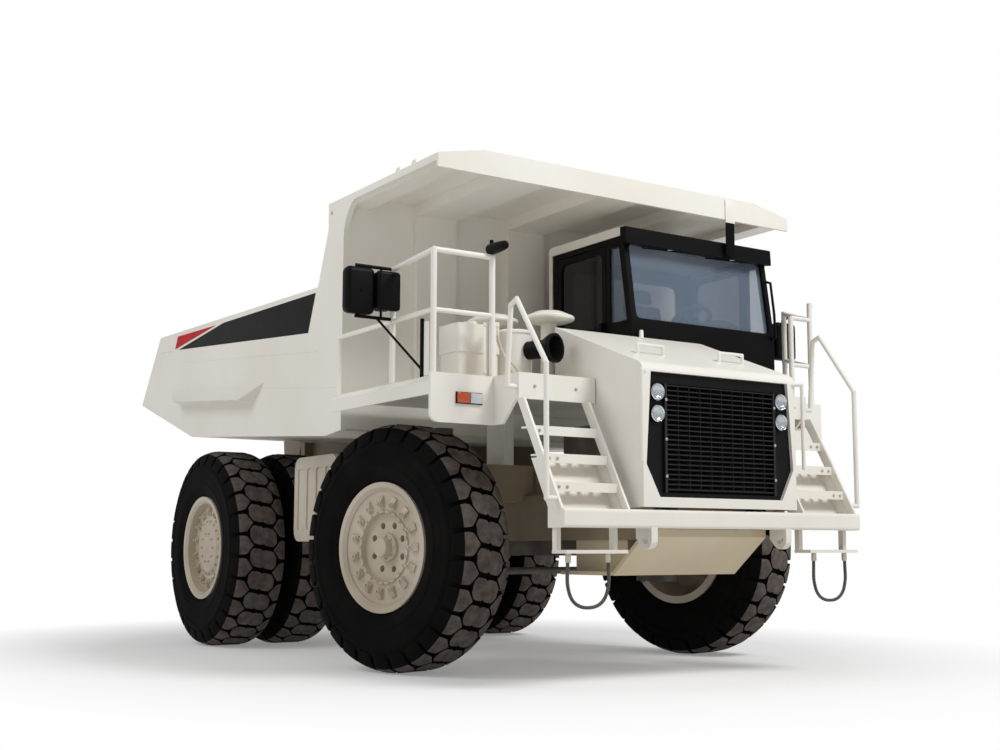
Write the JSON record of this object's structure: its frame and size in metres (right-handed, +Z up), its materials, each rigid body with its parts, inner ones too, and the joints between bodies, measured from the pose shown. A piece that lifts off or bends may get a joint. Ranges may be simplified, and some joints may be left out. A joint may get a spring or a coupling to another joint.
{
  "type": "rigid mining dump truck",
  "caption": "Rigid off-highway dump truck: steered front wheels, twin rear wheels, offset cab with doors, ladders and a tipping body whose canopy shields the cab.",
  "frame": {"origin": "centre of the overall box at ground level", "axes": "+X forward, +Y to the truck's left, +Z up"},
  "size_m": [8.1855, 4.96, 4.2128],
  "materials": {
    "paint": "gloss",
    "steel": "satin",
    "black": "satin",
    "rubber": "matte",
    "glass": "clear",
    "seat": "matte",
    "lens": "gloss",
    "rod": "polished"
  },
  "bodies": {
    "chassis": {"frame_rails": "paint", "front_bumper": "paint", "belly_guard": "paint", "lower_steps": "paint", "step_stirrups": "black", "ladders": "paint", "ladder_handrails": "paint", "deck_right": "paint", "deck_left": "paint", "deck_handrails": "paint", "hood": "paint", "grille": "black", "lamps": "lens", "radiator": "black", "engine": "steel", "transmission": "steel", "driveshaft": "steel", "fuel_tank": "paint", "hydraulic_tank": "paint", "deck_tank": "paint", "air_cleaner": "paint", "intake_hose": "black", "mirrors": "black", "cab_floor": "black", "cab_frame": "black", "cab_roof": "paint", "cab_glass": "glass", "operator_seat": "seat", "cab_controls": "black", "front_struts": "steel", "rear_axle": "paint", "rear_suspension": "steel"},
    "knuckle_left": {"knuckle_left": "steel"},
    "knuckle_right": {"knuckle_right": "steel"},
    "tie_rod": {"tie_rod": "steel"},
    "wheel_front_left": {"tyre_front_left": "rubber", "rim_front_left": "paint"},
    "wheel_front_right": {"tyre_front_right": "rubber", "rim_front_right": "paint"},
    "wheels_rear_left": {"tyres_rear_left": "rubber", "rims_rear_left": "paint"},
    "wheels_rear_right": {"tyres_rear_right": "rubber", "rims_rear_right": "paint"},
    "door_left": {"door_left": "black", "door_glass_left": "glass"},
    "door_right": {"door_right": "black", "door_glass_right": "glass"},
    "dump_body": {"dump_floor": "paint", "dump_sides": "paint", "dump_headboard": "paint", "dump_canopy": "paint", "canopy_strip": "black", "dump_bolsters": "paint"},
    "hoist_barrels": {"hoist_barrels": "paint"},
    "hoist_stages": {"hoist_stages": "rod"},
    "hoist_rods": {"hoist_rods": "rod"}
  },
  "joints": [
    {"name": "steer_left", "type": "hinge", "parent": "chassis", "child": "knuckle_left", "pos_m": [1.8575, 1.25, 1.1], "axis": [0, 0, 1], "range_deg": [-52, 28]},
    {"name": "steer_right", "type": "hinge", "parent": "chassis", "child": "knuckle_right", "pos_m": [1.8575, -1.25, 1.1], "axis": [0, 0, 1], "range_deg": [-52, 28]},
    {"name": "tie_rod_pivot", "type": "hinge", "parent": "knuckle_left", "child": "tie_rod", "pos_m": [1.58362, 1.19178, 0.76], "axis": [0, 0, 1], "range_deg": [-28, 52]},
    {"name": "spin_front_left", "type": "hinge", "parent": "knuckle_left", "child": "wheel_front_left", "pos_m": [1.77018, 1.66082, 1.02], "axis": [-0.2079, 0.9781, 0], "continuous": true},
    {"name": "spin_front_right", "type": "hinge", "parent": "knuckle_right", "child": "wheel_front_right", "pos_m": [1.94482, -1.66082, 1.02], "axis": [-0.2079, 0.9781, 0], "continuous": true},
    {"name": "spin_rear_left", "type": "hinge", "parent": "chassis", "child": "wheels_rear_left", "pos_m": [-1.8425, 1.38, 1.02], "axis": [0, 1, 0], "continuous": true},
    {"name": "spin_rear_right", "type": "hinge", "parent": "chassis", "child": "wheels_rear_right", "pos_m": [-1.8425, -1.38, 1.02], "axis": [0, 1, 0], "continuous": true},
    {"name": "door_left", "type": "hinge", "parent": "chassis", "child": "door_left", "pos_m": [1.8175, 1.72, 3], "axis": [0, 0, 1], "range_deg": [0, 80]},
    {"name": "door_right", "type": "hinge", "parent": "chassis", "child": "door_right", "pos_m": [1.8175, 0.02, 3], "axis": [0, 0, -1], "range_deg": [0, 80]},
    {"name": "body_tilt", "type": "hinge", "parent": "chassis", "child": "dump_body", "pos_m": [-2.7425, 0, 1.75], "axis": [0, -1, 0], "range_deg": [0, 57]},
    {"name": "hoist_swing", "type": "hinge", "parent": "chassis", "child": "hoist_barrels", "pos_m": [-0.3825, 0, 0.75], "axis": [0, -1, 0], "range_deg": [0, 12.2]},
    {"name": "hoist_stage_slide", "type": "slide", "parent": "hoist_barrels", "child": "hoist_stages", "axis": [-0.2768, 0, 0.9609], "range_m": [0, 0.944]},
    {"name": "hoist_rod_slide", "type": "slide", "parent": "hoist_stages", "child": "hoist_rods", "axis": [-0.2768, 0, 0.9609], "range_m": [0, 0.944]}
  ],
  "couplings": [
    {"joint": "steer_right", "follows": "steer_left", "ratio": 1},
    {"joint": "tie_rod_pivot", "follows": "steer_left", "ratio": -1},
    {"joint": "hoist_swing", "follows": "body_tilt", "ratio": 0.20501},
    {"joint": "hoist_stage_slide", "follows": "body_tilt", "m_per_rad": 0.94407},
    {"joint": "hoist_rod_slide", "follows": "body_tilt", "m_per_rad": 0.94407}
  ]
}
